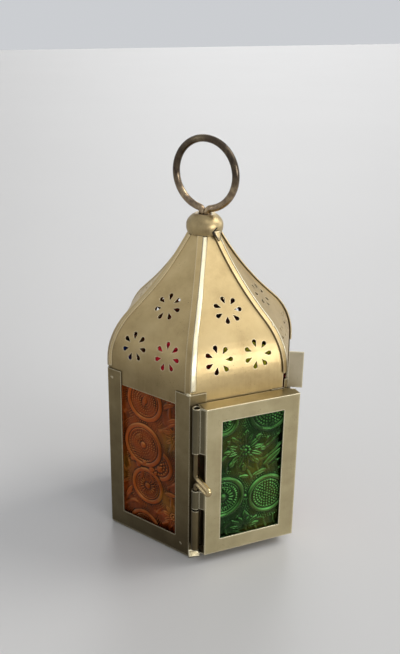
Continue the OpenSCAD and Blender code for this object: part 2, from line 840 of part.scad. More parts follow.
// Keeper tube on the body, rolled from a strip whose tail is soldered to the post
module latch_keeper() {
    leaf_y = -(face_a + fit_gap / 2);
    tail_x = latch_x + tube_bore_r;
    color("darkgoldenrod")
        translate([0, 0, keeper_z]) {
            difference() {
                union() {
                    translate([latch_x, latch_y, 0])
                        cylinder(r = tube_r, h = keeper_l, $fn = round_n);
                    translate([tail_x, latch_y, 0])
                        cube([sheet_t, leaf_y - latch_y, keeper_l]);
                    translate([tail_x, leaf_y - sheet_t, 0])
                        cube([flange_w / 2 - bolt_r - sheet_t, sheet_t, keeper_l]);
                }
                translate([latch_x, latch_y, -over])
                    cylinder(r = tube_bore_r, h = keeper_l + 2 * over, $fn = round_n);
            }
        }
}

base_tray();
candle_cup();
body_shell();
corner_strip(left_front_turn + half_turn);  // corner_strip_door_left
corner_strip(door_turn + half_turn);  // corner_strip_door_right
corner_strip(right_front_turn + half_turn);  // corner_strip_right
corner_strip(right_back_turn + half_turn);  // corner_strip_back_right
corner_strip(back_turn + half_turn);  // corner_strip_back_left
corner_strip(left_back_turn + half_turn);  // corner_strip_left
pane(left_front_turn, AMBER, LEFT_FRONT_FORMS);  // pane_left_front
pane(left_back_turn, BLUE, OTHER_FORMS);  // pane_left_back
pane(back_turn, RED, OTHER_FORMS);  // pane_back
pane(right_back_turn, YELLOW, OTHER_FORMS);  // pane_right_back
pane(right_front_turn, RED, OTHER_FORMS);  // pane_right_front
roof_panel(door_turn);  // roof_panel_door
roof_panel(right_front_turn, lap_z + hinge_lap_rise);  // roof_panel_right_front
roof_panel(right_back_turn);  // roof_panel_right_back
roof_panel(back_turn);  // roof_panel_back
roof_panel(left_back_turn);  // roof_panel_left_back
roof_panel(left_front_turn);  // roof_panel_left_front
finial_cap();
ring_handle();
ring_washer();
door_frame();
door_pane();
door_glass_retainer();
hinge_strip();
hinge_pin();
latch_bolt();
latch_keeper();
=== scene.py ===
"""Looks of a hexagonal tin lantern with pressed glass panes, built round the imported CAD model."""
import math

import bpy
import numpy as np
from mathutils import Matrix, Vector
from mathutils.bvhtree import BVHTree


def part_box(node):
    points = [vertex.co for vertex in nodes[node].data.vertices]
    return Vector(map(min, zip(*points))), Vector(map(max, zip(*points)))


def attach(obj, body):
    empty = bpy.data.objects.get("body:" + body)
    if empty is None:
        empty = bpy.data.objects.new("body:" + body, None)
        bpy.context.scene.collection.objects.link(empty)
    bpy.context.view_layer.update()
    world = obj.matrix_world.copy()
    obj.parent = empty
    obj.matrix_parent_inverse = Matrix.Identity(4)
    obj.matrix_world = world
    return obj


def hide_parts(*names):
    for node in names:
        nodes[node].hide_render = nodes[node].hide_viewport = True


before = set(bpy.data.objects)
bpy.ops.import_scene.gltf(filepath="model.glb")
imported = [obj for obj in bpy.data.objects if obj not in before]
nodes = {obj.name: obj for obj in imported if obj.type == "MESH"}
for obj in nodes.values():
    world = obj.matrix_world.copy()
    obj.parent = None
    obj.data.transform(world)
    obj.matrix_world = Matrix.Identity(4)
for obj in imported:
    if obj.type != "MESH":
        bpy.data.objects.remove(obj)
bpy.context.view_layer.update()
scene = bpy.context.scene

MM = 0.001                               # the frame is in metres, the shapes below are in mm
SIDE = 60.0                              # side of the body's hexagon
FACE_A = SIDE * math.cos(math.pi / 6)    # its apothem
HALF_TAN = math.tan(math.pi / 6)         # half the width of a face over its apothem

# ---------------------------------------------------------------- camera, as in the photograph
CAM_POS = Vector((-0.1899169, -0.434676, 0.312121))
CAM_RIGHT = Vector((0.919881, -0.391992, 0.012676))
CAM_UP = Vector((0.135171, 0.347212, 0.927994))
CAM_BACK = Vector((-0.368167, -0.851931, 0.37238))
CAM_SENSOR = 36
CAM_LENS = 46.994

cam = bpy.data.cameras.new("camera")
cam.sensor_width = CAM_SENSOR
cam.lens = CAM_LENS
cam.clip_start = 0.01
cam.clip_end = 20
cam_obj = bpy.data.objects.new("camera", cam)
cam_place = Matrix((CAM_RIGHT, CAM_UP, CAM_BACK)).transposed().to_4x4()
cam_place.translation = CAM_POS
cam_obj.matrix_world = cam_place
scene.collection.objects.link(cam_obj)
scene.camera = cam_obj
scene.view_settings.view_transform = "Standard"

# ---------------------------------------------------------------- materials
RAY_SAMPLES = 6                     # of the bevel and the occlusion nodes
EDGE_WEAR_AND_HIGHLIGHT_RADIUS = 0.0013                # reach of the edge wear and its painted highlight
SOFT_RADIUS = 0.0004                # rounding of every sheet edge
# reach of the painted shade in corners and under laps
CREVICE_SHADE_REACH = 0.0016
RUBBED_AND_HIGHLIT_TIN = (0.95, 0.87, 0.64)     # bare metal where the lacquer has come off, and a painted highlight on the edges
LAP_SHADE_HEIGHTS = (0.106, 0.146)        # the painted shade on the roof's overlap is deepest at the first, gone by the second
LAP_SHARPNESS = 2500.0              # how sharply the painted shade on the overlap starts at the corner
COAT_ROUGHNESS = 0.08
GLASS_IOR = 1.52
GLASS_SPECULAR = 0.25
GLASS_ROUGHNESS = (0.05, 0.16)

# Noises of the tin: scale, detail, roughness
CLOUDS = (46, 6, 0.62)
GRAIN = (900, 4, 0.6)
DULLED = (14, 3, 0.5)
SPECKS = (1300, 2, 0.5)
SPECKLED = (70, 2, 0.5)             # where specks are allowed
WANDER = (55, 4, 0.6)               # how the limit of a painted light or shade along an axis wanders
SMEARS = (85, 5, 0.65)
BUCKLES = (30, 2, 0.4)
DENTS = (52, 1, 0.3)
PITS = (700, 3, 0.6)
# Noises of the glass
GLASS_PATCHES = (84, 3, 0.55)
GLASS_BROAD = (34, 2, 0.5)
GLASS_FINE = (300, 3, 0.6)
GLASS_REFLECTION_PATCHES = (26, 2, 0.5)
GLASS_SMEARS = (150, 3, 0.6)
GLASS_PITS = (420, 3, 0.55)


def shade(color, factor):
    return tuple(factor * c for c in color)


class Tree:
    """A material's node tree, with short names for what this scene puts in it."""

    def __init__(self, name):
        self.mat = bpy.data.materials.new(name)
        self.mat.use_nodes = True
        self.nt = self.mat.node_tree
        self.bsdf = self.nt.nodes["Principled BSDF"]
        self.coord = None

    def add(self, kind, **settings):
        node = self.nt.nodes.new(kind)
        for key, value in settings.items():
            setattr(node, key, value)
        return node

    def feed(self, socket, value):
        """Sets an input to a number or a colour, or links another node's output to it."""
        if isinstance(value, bpy.types.NodeSocket):
            self.nt.links.new(value, socket)
        elif isinstance(value, (int, float)):
            socket.default_value = value
        else:
            socket.default_value = (*value, 1)

    def surface(self, **inputs):
        """Feeds the shader's own inputs, named with _ for a space."""
        for key, value in inputs.items():
            self.feed(self.bsdf.inputs[key.replace("_", " ")], value)

    def place(self):
        if self.coord is None:
            self.coord = self.add("ShaderNodeTexCoord").outputs["Object"]
        return self.coord

    def along(self, axis):
        """The object coordinate along X, Y or Z."""
        parts = self.add("ShaderNodeSeparateXYZ")
        self.feed(parts.inputs[0], self.place())
        return parts.outputs[axis]

    def attribute(self, name):
        return self.add("ShaderNodeAttribute", attribute_name=name).outputs["Fac"]

    def noise(self, scale, detail, rough, stretch=None):
        noise = self.add("ShaderNodeTexNoise")
        noise.inputs["Scale"].default_value = scale
        noise.inputs["Detail"].default_value = detail
        noise.inputs["Roughness"].default_value = rough
        where = self.place()
        if stretch:
            mapping = self.add("ShaderNodeMapping")
            mapping.inputs["Scale"].default_value = stretch
            self.feed(mapping.inputs["Vector"], where)
            where = mapping.outputs["Vector"]
        self.feed(noise.inputs["Vector"], where)
        return noise.outputs["Fac"]

    def ramp(self, value, stops):
        """A colour ramp through (position, colour) stops."""
        ramp = self.add("ShaderNodeValToRGB")
        elements = ramp.color_ramp.elements
        while len(elements) < len(stops):
            elements.new(0.5)
        for element, (position, color) in zip(elements, stops):
            element.position = position
            element.color = (*color, 1)
        self.feed(ramp.inputs["Fac"], value)
        return ramp.outputs["Color"]

    def mask(self, value, start, end, low=0.0, high=1.0):
        """Grey: low up to start, high from end on."""
        return self.ramp(value, [(start, (low,) * 3), (end, (high,) * 3)])

    def remap(self, value, source, target):
        """Takes one range of numbers to another, clamped at both ends."""
        node = self.add("ShaderNodeMapRange")
        for key, number in zip(("From Min", "From Max", "To Min", "To Max"), (*source, *target)):
            node.inputs[key].default_value = number
        self.feed(node.inputs["Value"], value)
        return node.outputs["Result"]

    def mix(self, factor, a, b, blend="MIX"):
        node = self.add("ShaderNodeMix", data_type="RGBA", blend_type=blend)
        for index, value in ((0, factor), (6, a), (7, b)):    # 6 and 7 are the colour inputs
            self.feed(node.inputs[index], value)
        return node.outputs[2]

    def math(self, operation, a, b):
        node = self.add("ShaderNodeMath", operation=operation)
        self.feed(node.inputs[0], a)
        self.feed(node.inputs[1], b)
        return node.outputs[0]

    def times(self, a, b):
        return self.math("MULTIPLY", a, b)

    def plus(self, a, b):
        return self.math("ADD", a, b)

    def dot(self, a, b):
        """The dot product of an output and either another output or a constant vector."""
        node = self.add("ShaderNodeVectorMath", operation="DOT_PRODUCT")
        self.feed(node.inputs[0], a)
        if isinstance(b, tuple):
            node.inputs[1].default_value = b
        else:
            self.feed(node.inputs[1], b)
        return node.outputs["Value"]

    def soft_edges(self, radius):
        """A normal that rounds every sheet edge, so that it catches the light."""
        bevel = self.add("ShaderNodeBevel", samples=RAY_SAMPLES)
        bevel.inputs["Radius"].default_value = radius
        return bevel.outputs["Normal"]

    def worn_and_highlit_edges(self):
        """1 along the sheet's edges, which show wear and also a painted highlight, 0 on its open
        faces.
        """
        true_normal = self.add("ShaderNodeNewGeometry").outputs["True Normal"]
        turned = self.dot(true_normal, self.soft_edges(EDGE_WEAR_AND_HIGHLIGHT_RADIUS))
        return self.mask(turned, 0.84, 0.985, 1.0, 0.0)

    def crevice_shade(self):
        """Painted shade: 1 on open surfaces, falling to a quarter in corners and under laps."""
        occlusion = self.add("ShaderNodeAmbientOcclusion", samples=RAY_SAMPLES)
        occlusion.inputs["Distance"].default_value = CREVICE_SHADE_REACH
        return self.mask(occlusion.outputs["AO"], 0.35, 0.85, 0.25, 1.0)

    def bump(self, height, strength, distance, after=None):
        bump = self.add("ShaderNodeBump")
        bump.inputs["Strength"].default_value = strength
        bump.inputs["Distance"].default_value = distance
        self.feed(bump.inputs["Height"], height)
        if after is not None:
            self.feed(bump.inputs["Normal"], after)
        return bump.outputs["Normal"]

    def painted_shading_along(self, base, axis, start, end, first, last):
        """A painted light or shade: the base times first at start, growing to times last at end,
        with a wandering limit.
        """
        stray = self.math("SUBTRACT", self.noise(*WANDER), 0.5)
        wander = self.times(stray, 0.35 * abs(end - start))
        fade = self.remap(self.plus(self.along(axis), wander), (start, end), (first, last))
        return self.mix(1.0, base, fade, "MULTIPLY")

    def shaded_lap(self, base, turn, low, high):
        """The base with a painted shade on the overlap beyond a corner: times low at its foot,
        times high above.
        """
        turn = math.radians(turn)
        beyond = self.dot(self.place(), (math.sin(turn), -math.cos(turn), 0))
        on_lap = self.mask(self.times(beyond, LAP_SHARPNESS), 0.0, 0.6)
        shade_by_height = self.remap(self.along("Z"), LAP_SHADE_HEIGHTS, (low, high))
        return self.mix(on_lap, base, self.mix(1.0, base, shade_by_height, "MULTIPLY"))


def tin(name, light, mid, dark, metallic=0.9, rough=(0.33, 0.45), grain=(1, 1, 0.05),
        rubbed_and_highlit=0.75, coat=0.0, painted_shading=None, lap_shade=None):
    """Gold-lacquered tin: rolling grain, clouds, specks, edges that show wear and also a painted
    highlight, painted shade in corners and under laps, and slight buckles; optionally a painted
    light or shade along an axis and a painted shade on an overlap.
    """
    t = Tree(name)
    base = t.ramp(t.noise(*CLOUDS), [(0.3, dark), (0.5, mid), (0.72, light)])
    streaks = t.noise(*GRAIN, grain)
    base = t.mix(t.mask(streaks, 0.35, 0.7, high=0.22), base, light)
    base = t.mix(t.mask(t.noise(*DULLED, (1, 1, 2.4)), 0.54, 0.7, high=0.3), base, dark)
    specks = t.mask(t.noise(*SPECKS), 0.66, 0.72, high=0.7)
    speckled = t.mask(t.noise(*SPECKLED), 0.5, 0.66)
    base = t.mix(t.times(specks, speckled), base, shade(dark, 0.3))
    # painted light or shade along an axis
    if painted_shading:
        base = t.painted_shading_along(base, *painted_shading)
    # painted shade on the overlap beyond a corner
    if lap_shade:
        base = t.shaded_lap(base, *lap_shade)
    # edges show wear and are also painted bright as a highlight
    base = t.mix(t.times(t.worn_and_highlit_edges(), rubbed_and_highlit), base, RUBBED_AND_HIGHLIT_TIN)
    # painted shade in corners and under laps
    base = t.mix(t.crevice_shade(), shade(dark, 0.3), base)

    normal = t.soft_edges(SOFT_RADIUS)
    normal = t.bump(t.noise(*BUCKLES), 0.35, 0.0012, normal)
    normal = t.bump(t.mask(t.noise(*DENTS), 0.7, 0.8, 1.0, 0.0), 0.4, 0.0007, normal)
    normal = t.bump(streaks, 0.2, 0.00008, normal)
    normal = t.bump(t.noise(*PITS), 0.25, 0.0001, normal)
    smears = t.noise(*SMEARS, (1, 1, 0.5))
    t.surface(Base_Color=base, Metallic=metallic, Roughness=t.remap(smears, (0.3, 0.7), rough),
              Normal=normal, Coat_Weight=coat, Coat_Roughness=COAT_ROUGHNESS)
    return t.mat


def glass(name, deep, mid, bright, glint, through, gleam=1.0, stray=None):
    """Pressed coloured glass, with painted shade in hollows and at low parts and, in patches, a
    painted highlight on crests and on the slopes that face up.
    """
    t = Tree(name)
    patchy = t.mask(t.noise(*GLASS_PATCHES), 0.43, 0.60)
    broad = t.mask(t.noise(*GLASS_BROAD), 0.36, 0.64)
    uneven = t.plus(t.times(broad, 0.42), t.times(t.noise(*GLASS_FINE), 0.22))
    # the low parts of the relief painted darker, as painted shade
    ground = t.plus(t.times(t.attribute("lift"), 0.4), uneven)
    base = t.mix(t.mask(ground, 0.15, 0.85), deep, mid)
    # patches of a painted reflection in another hue
    if stray:
        base = t.mix(t.mask(t.noise(*GLASS_REFLECTION_PATCHES), 0.50, 0.68, high=0.7), base, stray)
    # painted highlight on crests and on slopes that face up, shown in patches
    painted_glint = t.math("MAXIMUM", t.mask(t.attribute("crest_highlight"), 0.3, 1.0, high=0.14 * gleam),
                   t.mask(t.attribute("upslope_highlight"), 0.12, 0.9, high=gleam))
    lit = t.plus(t.plus(t.times(patchy, 0.55), t.times(broad, 0.55)), 0.06)
    base = t.mix(t.times(painted_glint, lit), base, bright)
    # painted shade in the hollows of the relief
    base = t.mix(t.mask(t.attribute("hollow"), 0.12, 0.75, high=0.9), base, shade(deep, 0.25))
    t.surface(Base_Color=base, Transmission_Weight=through, IOR=GLASS_IOR,
              Specular_IOR_Level=GLASS_SPECULAR, Specular_Tint=glint,
              Roughness=t.remap(t.noise(*GLASS_SMEARS), (0, 1), GLASS_ROUGHNESS),
              Normal=t.bump(t.noise(*GLASS_PITS), 0.3, 0.0002))
    return t.mat


def plain(name, color, rough):
    t = Tree(name)
    t.surface(Base_Color=t.ramp(t.noise(3, 2, 0.5), [(0.3, shade(color, 0.985)), (0.7, color)]),
              Roughness=rough)
    return t.mat


# Tin colours are light, mid and dark; a painted light or shade is an axis, two places on it, a
# factor at each
ROOF_TINTS = (0.64, 0.49, 0.25), (0.56, 0.42, 0.205), (0.44, 0.32, 0.15)
ROOF_FINISH = {"rough": (0.36, 0.48), "rubbed_and_highlit": 0.35}
# painted light: the roof lighter towards its neck, darker just below it
NECK_PAINTED_LIGHT = ("Z", 0.150, 0.178, 0.92, 1.14)
WIRE_FINISH = {"metallic": 0.95, "rough": (0.14, 0.28), "grain": (1, 1, 0.3), "rubbed_and_highlit": 0.0}
bolt_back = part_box("latch_bolt")[1].y

ROOF_GOLD = tin("roof_gold", *ROOF_TINTS, painted_shading=NECK_PAINTED_LIGHT, **ROOF_FINISH)
# the door's panel, with painted shade on its overlap beyond the front corner
ROOF_DOOR = tin("roof_door_gold", *ROOF_TINTS, painted_shading=NECK_PAINTED_LIGHT, lap_shade=(-120, 0.50, 0.95),
                **ROOF_FINISH)
# painted highlight: the colour of the hems on the lit side
HEM_HIGHLIT_GOLD = tin("hem_highlit_gold", (0.92, 0.85, 0.64), (0.82, 0.74, 0.50), (0.62, 0.52, 0.30),
               rough=(0.26, 0.36))
CAP_GOLD = tin("cap_gold", (0.56, 0.44, 0.23), (0.40, 0.305, 0.155), (0.20, 0.14, 0.07),
               rubbed_and_highlit=0.25)
# the panels on the shaded side, with painted shade growing towards the skirt
ROOF_SHADED = tin("roof_shaded", (0.66, 0.51, 0.265), (0.57, 0.43, 0.21), (0.44, 0.32, 0.15),
                painted_shading=("Z", 0.106, 0.146, 0.50, 1.0), **ROOF_FINISH)
# the body's tin, painted darker than the same tin on roof and door as painted shade, and darker
# still towards the bottom
BODY_SHADED_GOLD = tin("body_shaded_gold", (0.27, 0.215, 0.115), (0.205, 0.157, 0.077), (0.15, 0.112, 0.052),
                rubbed_and_highlit=0.4, painted_shading=("Z", 0.0, 0.105, 0.50, 1.05))
# painted shade on the door's latch side, its tubes and side wall, left of about x = -24 mm
DOOR_GOLD = tin("door_gold", (0.50, 0.43, 0.26), (0.43, 0.365, 0.21), (0.34, 0.28, 0.155),
                painted_shading=("X", -0.0246, -0.0236, 0.30, 1.0))
STRIP_KHAKI = tin("strip_khaki", (0.64, 0.56, 0.39), (0.56, 0.48, 0.33), (0.44, 0.37, 0.24),
                  metallic=0.7, rough=(0.4, 0.52))
INNER_GOLD = tin("inner_gold", (0.50, 0.43, 0.25), (0.40, 0.33, 0.18), (0.28, 0.22, 0.12))
BRASS_WIRE = tin("brass_wire", (0.70, 0.56, 0.30), (0.46, 0.34, 0.17), (0.20, 0.13, 0.07),
                 **WIRE_FINISH)
# painted shade on the back part of the bolt
BOLT_WIRE = tin("bolt_wire", (0.72, 0.58, 0.32), (0.50, 0.38, 0.19), (0.24, 0.16, 0.08),
                painted_shading=("Y", bolt_back - 0.0048, bolt_back - 0.0030, 1.0, 0.30), **WIRE_FINISH)
# painted light: the ring lighter towards its foot, darker above
BRONZE = tin("bronze_wire", (0.34, 0.27, 0.16), (0.070, 0.048, 0.031), (0.026, 0.017, 0.013),
             coat=0.2, painted_shading=("Z", 0.196, 0.219, 3.2, 0.85), **WIRE_FINISH)
SOLDER = tin("solder", (0.54, 0.47, 0.31), (0.42, 0.36, 0.22), (0.28, 0.23, 0.14),
             rough=(0.34, 0.5), grain=(1, 1, 1))

# Glass colours are deep, mid, the colour of the painted highlight and the tint of its gloss, then
# how much light goes through; a last colour is the hue of a painted reflection
AMBER = glass("amber_glass", (0.05, 0.007, 0.001), (0.50, 0.094, 0.012), (1.0, 0.40, 0.13),
              (1.0, 0.45, 0.15), 0.35, gleam=0.95, stray=(0.33, 0.22, 0.02))
GREEN = glass("green_glass", (0.0006, 0.002, 0.0004), (0.017, 0.027, 0.005), (0.28, 0.86, 0.20),
              (0.34, 1.0, 0.30), 0.35, gleam=1.05, stray=(0.13, 0.105, 0.010))
RED = glass("red_glass", (0.14, 0.004, 0.008), (0.62, 0.02, 0.04), (0.92, 0.14, 0.14),
            (1.0, 0.35, 0.3), 0.85)
BLUE = glass("blue_glass", (0.008, 0.02, 0.14), (0.03, 0.10, 0.55), (0.12, 0.30, 0.90),
             (0.35, 0.5, 1.0), 0.85)
YELLOW = glass("yellow_glass", (0.20, 0.18, 0.01), (0.68, 0.66, 0.05), (0.92, 0.90, 0.20),
               (1.0, 0.95, 0.4), 0.85)

# ---------------------------------------------------------------- CAD nodes keep their shape
METALS = {
    "roof_panel_door": ROOF_DOOR,
    "roof_panel_right_front": ROOF_GOLD,
    "roof_panel_right_back": ROOF_GOLD,
    "roof_panel_back": ROOF_SHADED,
    "roof_panel_left_back": ROOF_SHADED,
    "roof_panel_left_front": ROOF_SHADED,
    "finial_cap": CAP_GOLD,
    "ring_handle": BRONZE,
    "ring_washer": INNER_GOLD,
    "base_tray": INNER_GOLD,
    "candle_cup": INNER_GOLD,
    "body_shell": BODY_SHADED_GOLD,
    "latch_keeper": BODY_SHADED_GOLD,
    "latch_bolt": BOLT_WIRE,
    "door_frame": DOOR_GOLD,
    "door_glass_retainer": INNER_GOLD,
    "hinge_strip": STRIP_KHAKI,
    "hinge_pin": BRASS_WIRE,
}


def dress(node, material):
    """Gives a CAD node its material, with its faces smooth up to their edges."""
    ob = nodes[node]
    ob.data.materials.clear()
    ob.data.materials.append(material)
    ob.data.polygons.foreach_set("use_smooth", [True] * len(ob.data.polygons))
    ob.modifiers.new("weld", "WELD").merge_threshold = 1e-6
    ob.modifiers.new("split", "EDGE_SPLIT").split_angle = math.radians(28)
    ob.modifiers.new("weighted", "WEIGHTED_NORMAL").keep_sharp = True


for node in nodes:
    if node.startswith("corner_strip"):
        dress(node, INNER_GOLD)
    elif node in METALS:
        dress(node, METALS[node])

# ---------------------------------------------------------------- pressed glass panes
RELIEF_H = 1.2      # from the low plane to the outer plane
GLASS_T = 2.6       # from the back to the outer plane
PANE_A = 50.56      # apothem of a fixed pane's outer plane
PANE_W = 52.0
PANE_H = 101.7
PANE_Z0 = 0.7
PANE_EDGE = 5.4     # width of the flat rim behind the frame
NEAR_REACH, WIDE_REACH = 1.1, 3.0     # crests and hollows stand out from the mean over these
NEAR_STAND, WIDE_STAND = 0.3, 0.7     # by this much they count as full
STEEP = 1.1                           # the slope that counts as fully slanting
HALO_ROWS = (1.35, 2.65, 3.85)        # rows of fine lines outside a medallion's roll
HALO_HALF = 0.5                       # half the width of such a row
HALO_PITCH = 4.2                      # its lines to each mm of radius
CLEARED, CALMED = 1.6, 4.4            # how far round a medallion is emptied, and kept flat


def facing(direction):
    """Unit vectors of a face: outwards, and to the right seen from outside."""
    a = math.radians(direction)
    return (math.cos(a), math.sin(a), 0), (-math.sin(a), math.cos(a), 0)


def bell(d, w):
    """A round ridge: 1 where d is 0, falling to 0 at w."""
    return np.clip(1 - (d / w) ** 2, 0, 1) ** 0.75


class Relief:
    """Heights in mm over a pane's low plane; x runs left to right seen from outside, z up."""

    def __init__(self, width, height, step, edge):
        self.width, self.height, self.edge = width, height, edge
        self.nx, self.nz = int(width / step) + 1, int(height / step) + 1
        self.x, self.z = np.meshgrid(np.linspace(0, width, self.nx),
                                     np.linspace(0, height, self.nz))
        self.h = np.zeros_like(self.x)
        self.calm = np.zeros_like(self.x)    # 1 where the ground between the figures stays flat

    def put(self, h):
        self.h = np.maximum(self.h, h)

    def polar(self, cx, cz):
        dx, dz = self.x - cx, self.z - cz
        return np.hypot(dx, dz), np.arctan2(dz, dx)

    def ring(self, cx, cz, r, w, h):
        self.put(h * bell(self.polar(cx, cz)[0] - r, w))

    def ball(self, cx, cz, r, h):
        self.put(h * bell(self.polar(cx, cz)[0], r))

    def ribs(self, cx, cz, inner, outer, count, h, start=-180, end=180):
        """Short ribs that point at the centre, between two radii and two angles."""
        d, a = self.polar(cx, cz)
        turn = np.degrees(a)
        on = (d > inner) & (d < outer) & (turn >= start) & (turn <= end)
        wave = np.clip(np.cos(a * count), 0, 1) ** 0.6
        fade = np.clip((d - inner) / 0.6, 0, 1) * np.clip((outer - d) / 0.6, 0, 1)
        self.put(np.where(on, h * wave * fade, 0))

    def beads(self, cx, cz, r, count, size, h, start=0.0):
        for k in range(count):
            a = 2 * math.pi * (k + start) / count
            self.ball(cx + r * math.cos(a), cz + r * math.sin(a), size, h)

    def medallion(self, cx, cz, r, style, count=32):
        """Outer roll with fine lines round it, and ribs, rings or rows of scales inside."""
        h = RELIEF_H
        d, _ = self.polar(cx, cz)
        self.h = np.where(d < r + CLEARED, 0, self.h)
        self.calm = np.maximum(self.calm, np.clip(r + CALMED - d, 0, 1))
        for row in HALO_ROWS:
            self.ribs(cx, cz, r + row - HALO_HALF, r + row + HALO_HALF,
                      int(HALO_PITCH * (r + row)), 0.75 * h)
        self.ring(cx, cz, r - 1.1, 1.6, h)
        self.ring(cx, cz, r - 3.3, 0.55, 0.6 * h)
        if style == "ribs":
            self.ribs(cx, cz, r * 0.55, r - 3.8, count, 0.85 * h)
            self.ribs(cx, cz, r * 0.24, r * 0.5, count // 2, 0.85 * h)
            self.ring(cx, cz, r * 0.52, 0.4, 0.5 * h)
            self.ball(cx, cz, r * 0.19, 0.95 * h)
        elif style == "rings":
            for k in range(2, 7):
                middle = (r - 3.4) * k / 6.2
                self.ribs(cx, cz, middle - 0.62, middle + 0.62, 6 + 5 * k, 0.8 * h)
            self.ball(cx, cz, r * 0.16, 0.95 * h)
        else:
            rows = max(3, int((r - 3.2) / 1.7))
            for k in range(1, rows + 1):
                self.beads(cx, cz, (r - 3.9) * k / rows, 6 * k, 0.78, 0.85 * h, 0.5 * (k % 2))
            self.ball(cx, cz, 0.9, 0.9 * h)

    def rosette(self, cx, cz, r, petals=12):
        """Grooved petals round a ring of beads and a button."""
        h = RELIEF_H
        d, a = self.polar(cx, cz)
        t = (d - 0.28 * r) / (0.72 * r)
        span = 2 * math.pi / petals
        across = ((a + 0.12) % span - span / 2) * d
        half = np.clip(np.sin(np.clip(t, 0, 1) ** 0.8 * math.pi), 0, 1) * span * 0.31 * r
        petal = np.where((t > 0) & (t < 1), bell(across, np.maximum(half, 0.05)), 0)
        groove = 0.6 * np.exp(-(across / 0.32) ** 2)
        rise = 0.55 + 0.45 * np.clip(t, 0, 1)
        self.put(h * np.clip(petal * rise - groove * petal, 0, 1))
        self.beads(cx, cz, 0.23 * r, 9, 0.06 * r + 0.25, 0.85 * h)
        self.ball(cx, cz, 0.11 * r, 0.95 * h)

    def leaf(self, x0, z0, length, turn, w, h=1.15, bow=0.0):
        """A leaf with a groove down its middle, from its stem at x0, z0."""
        c, s = math.cos(math.radians(turn)), math.sin(math.radians(turn))
        u = ((self.x - x0) * c + (self.z - z0) * s) / length
        v = (self.z - z0) * c - (self.x - x0) * s - bow * 4 * u * (1 - u)
        half = w * np.sin(np.clip(u, 0, 1) * math.pi) ** 0.7
        body = np.where((u > 0) & (u < 1), bell(v, np.maximum(half, 0.05)), 0)
        self.put(h * np.clip(body - 0.4 * np.exp(-(v / 0.4) ** 2) * body, 0, 1))

    def lines(self, x0, x1, z0, z1, pitch, h, upright=False):
        """A patch of parallel lines, level or upright."""
        on = (self.x > x0) & (self.x < x1) & (self.z > z0) & (self.z < z1)
        along = (self.x - x0) if upright else (self.z - z0)
        wave = np.clip(np.cos(2 * math.pi * along / pitch), 0, 1) ** 0.7
        self.put(np.where(on, h * wave, 0))

    def finish(self):
        """Swells and curling ridges between the figures, and the rim at full height."""
        x, z = self.x, self.z
        swell = (np.sin(x * 0.55 + 1.3 * np.sin(z * 0.21))
                 + np.sin(z * 0.47 + 1.1 * np.sin(x * 0.33))
                 + 0.6 * np.sin(0.9 * x + 0.7 * z) * np.sin(0.6 * z - 0.8 * x))
        gate = 0.5 + 0.5 * np.sin(0.31 * z - 0.22 * x + 1 + 0.8 * np.sin(0.2 * x))
        curl = np.clip(1 - np.abs(np.sin(0.5 * x + 2.0 * np.sin(0.16 * z))) / 0.6, 0, 1)
        wave = np.clip(1 - np.abs(np.sin(0.40 * z + 1.9 * np.sin(0.19 * x + 2))) / 0.6, 0, 1)
        ridges = gate * curl + (1 - gate) * wave
        ground = 0.28 + 0.12 * swell + 0.62 * (1 - self.calm) * ridges
        open_ground = np.clip(1 - self.h / RELIEF_H, 0, 1)
        self.figure = np.clip(np.maximum(self.h, ground * open_ground), 0, RELIEF_H)
        inside = ((self.x > self.edge) & (self.x < self.width - self.edge)
                  & (self.z > self.edge) & (self.z < self.height - self.edge))
        self.h = np.where(inside, self.figure, RELIEF_H)

    def blurred(self, reach):
        """The figures averaged over a square of that reach in mm, twice."""
        k = max(1, int(round(reach / (self.x[0, 1] - self.x[0, 0]))))
        out = self.figure
        for _ in range(2):
            for axis in (0, 1):
                pad = [(0, 0), (0, 0)]
                pad[axis] = (k + 1, k)
                total = np.cumsum(np.pad(out, pad, mode="edge"), axis=axis)
                after = np.take(total, range(2 * k + 1, total.shape[axis]), axis=axis)
                before = np.take(total, range(0, total.shape[axis] - 2 * k - 1), axis=axis)
                out = (after - before) / (2 * k + 1)
        return out

    def fields(self):
        """What the glass material reads: a name, the values, and the value on the slab's back."""
        near = self.figure - self.blurred(NEAR_REACH)
        wide = self.figure - self.blurred(WIDE_REACH)
        stand = (near / NEAR_STAND + wide / WIDE_STAND) / 2
        uphill = -np.gradient(self.figure, axis=0) / (self.z[1, 0] - self.z[0, 0])
        # the first field drives a painted shade at low parts, the next two a painted highlight, the
        # last a painted shade in hollows
        return (("lift", self.figure / RELIEF_H, 0.4),
                ("crest_highlight", np.clip(stand, 0, 1), 0.0),
                ("upslope_highlight", np.clip(uphill / STEEP, 0, 1), 0.0),
                ("hollow", np.clip(-stand, 0, 1), 0.0))


